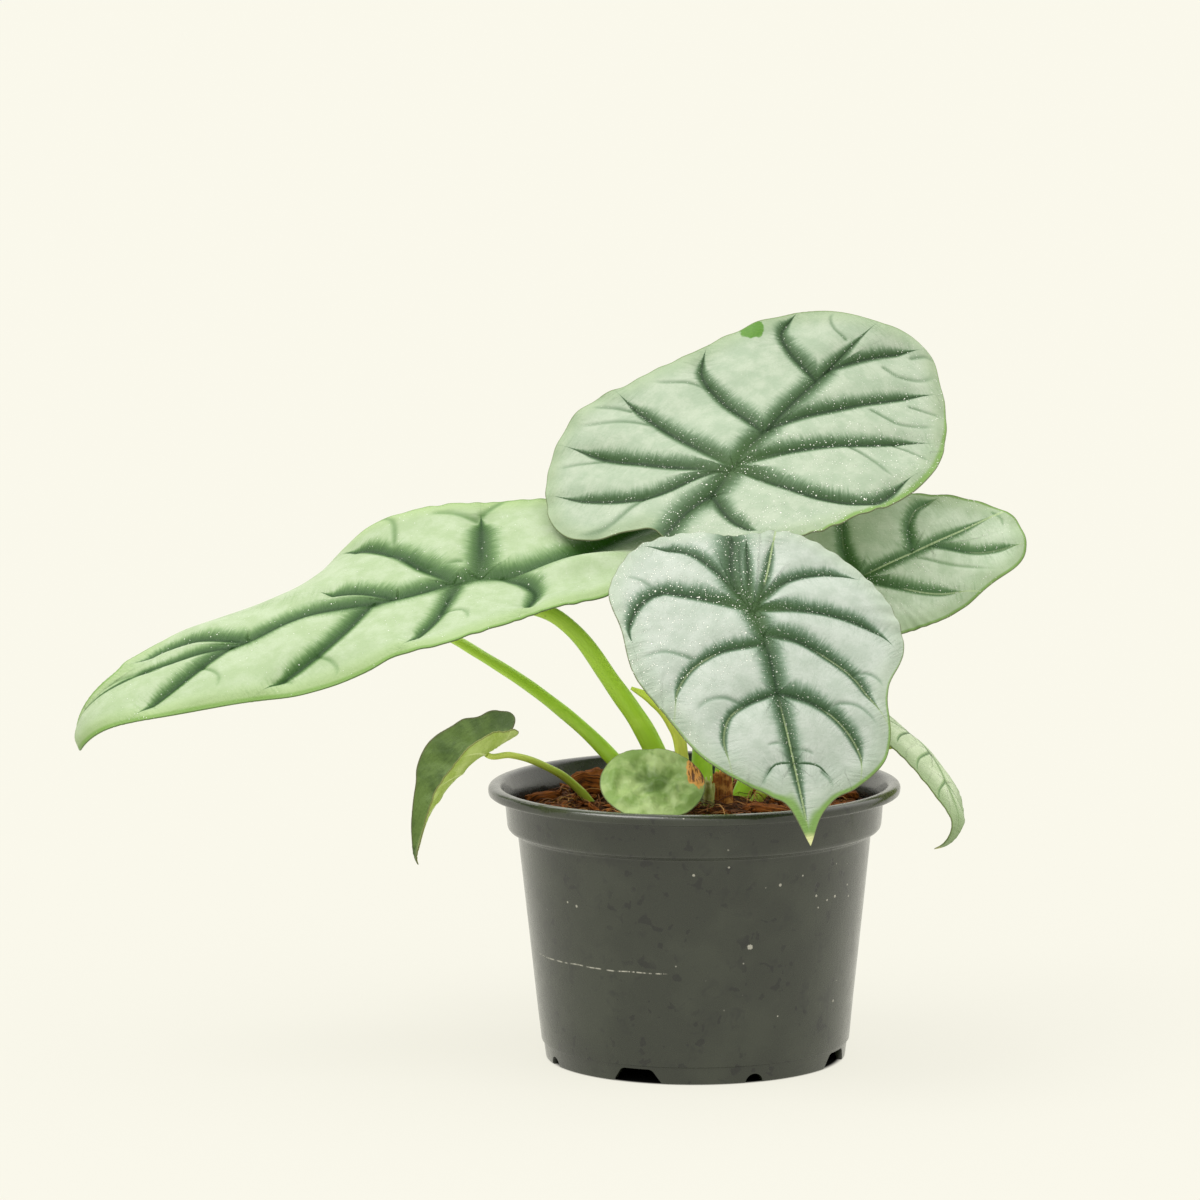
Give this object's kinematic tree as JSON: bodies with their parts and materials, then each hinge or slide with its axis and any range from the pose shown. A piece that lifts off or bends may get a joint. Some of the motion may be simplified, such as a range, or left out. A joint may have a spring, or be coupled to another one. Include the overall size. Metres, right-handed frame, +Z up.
{
  "type": "potted alocasia",
  "caption": "Young potted alocasia: silvery heart-shaped leaf blades with dark veins on slender petioles, growing from a crown in coir mix in a round nursery pot.",
  "frame": {"origin": "on the pot's axis, in the plane that the pot stands on", "axes": "+Z up along the pot's axis, +X to the right and -Y to the front as the plant is seen in the picture, with its longest leaf towards -X"},
  "size_m": [0.3524, 0.2056, 0.2692],
  "materials": {
    "pot_plastic": "dark greenish grey moulded plastic, satin, with scuffs and pale specks",
    "potting_mix": "damp coarse coir and bark mix, rough and fibrous",
    "husk": "orange-brown fibrous coir husk, rough",
    "crown": "green stem tissue, slightly waxy",
    "blade_silver": "silvery leaf with dark green feathered veins, leathery, satin",
    "blade_green": "fresh green young leaf, satin",
    "petiole_green": "smooth bright green stalk, satin",
    "shoot_green": "pale yellow-green new growth, satin",
    "dry_leaf": "papery dry brown leaf base, matt"
  },
  "bodies": {
    "root": {"nursery_pot": "pot_plastic", "potting_mix": "potting_mix", "crown": "crown", "blade_front": "blade_silver", "blade_top": "blade_silver", "blade_left": "blade_silver", "blade_right": "blade_silver", "blade_back": "blade_silver", "blade_low_right": "blade_silver", "blade_small_left": "blade_green", "blade_round": "blade_green", "petiole_front": "petiole_green", "petiole_top": "petiole_green", "petiole_left": "petiole_green", "petiole_right": "petiole_green", "petiole_back": "petiole_green", "petiole_low_right": "petiole_green", "petiole_small_left": "petiole_green", "petiole_round": "petiole_green", "new_shoot": "shoot_green", "pale_sheath": "shoot_green", "dry_sheath": "dry_leaf", "brown_sheath": "dry_leaf", "husk_chip_01": "husk", "husk_chip_02": "husk", "husk_chip_03": "husk", "husk_chip_04": "husk", "husk_chip_05": "husk", "husk_chip_06": "husk", "husk_chip_07": "husk", "husk_chip_08": "husk", "husk_chip_09": "husk", "husk_chip_10": "husk", "husk_chip_11": "husk", "husk_chip_12": "husk"}
  },
  "joints": []
}
